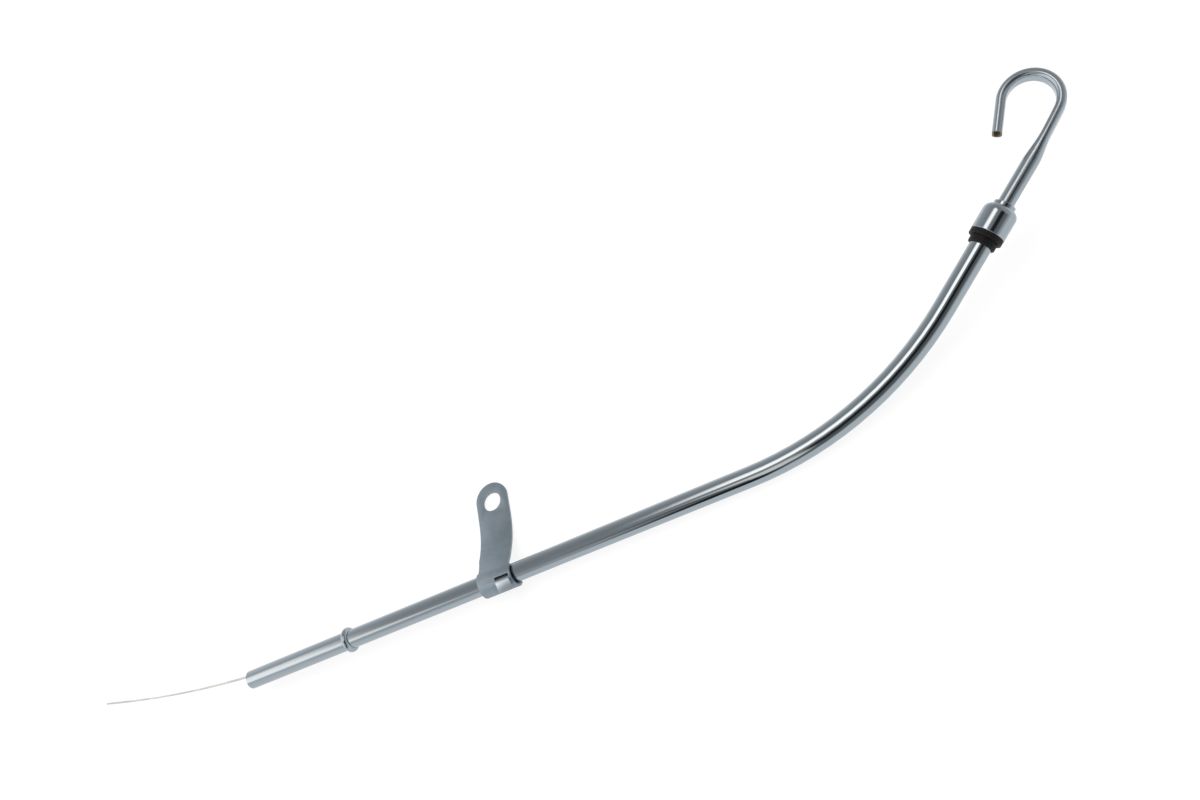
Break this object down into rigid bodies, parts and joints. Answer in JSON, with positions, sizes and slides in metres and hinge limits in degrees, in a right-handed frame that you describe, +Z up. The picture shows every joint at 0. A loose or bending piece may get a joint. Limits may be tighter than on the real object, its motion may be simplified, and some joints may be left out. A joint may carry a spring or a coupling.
{
  "type": "engine oil dipstick and guide tube",
  "caption": "Bent chrome guide tube with a stop bead and strap bracket, holding a flexible flat oil dipstick with a hook handle, bell cap and rubber seal.",
  "frame": {"origin": "on the floor, under the middle of the part as it lies at rest on its tube and its bracket", "axes": "+Z up from the floor, +X along the tube's lower run towards the hook, +Y to the inside of the bend"},
  "size_m": [0.5944, 0.1256, 0.0429],
  "materials": {
    "tube_chrome": "bright chrome plate",
    "bracket_plating": "satin zinc plate",
    "handle_chrome": "bright chrome plate",
    "cap_chrome": "bright chrome plate",
    "seal_rubber": "moulded black rubber",
    "blade_steel": "bare spring steel"
  },
  "bodies": {
    "tube": {"guide_tube": "tube_chrome", "mounting_bracket": "bracket_plating"},
    "dipstick": {"handle": "handle_chrome", "cap": "cap_chrome", "seal": "seal_rubber", "blade": "blade_steel"}
  },
  "joints": [
    {"name": "dipstick_pull", "type": "slide", "parent": "tube", "child": "dipstick", "axis": [0.7948, 0.5804, 0.177], "range_m": [0, 0.56], "deforming": ["blade"]}
  ]
}
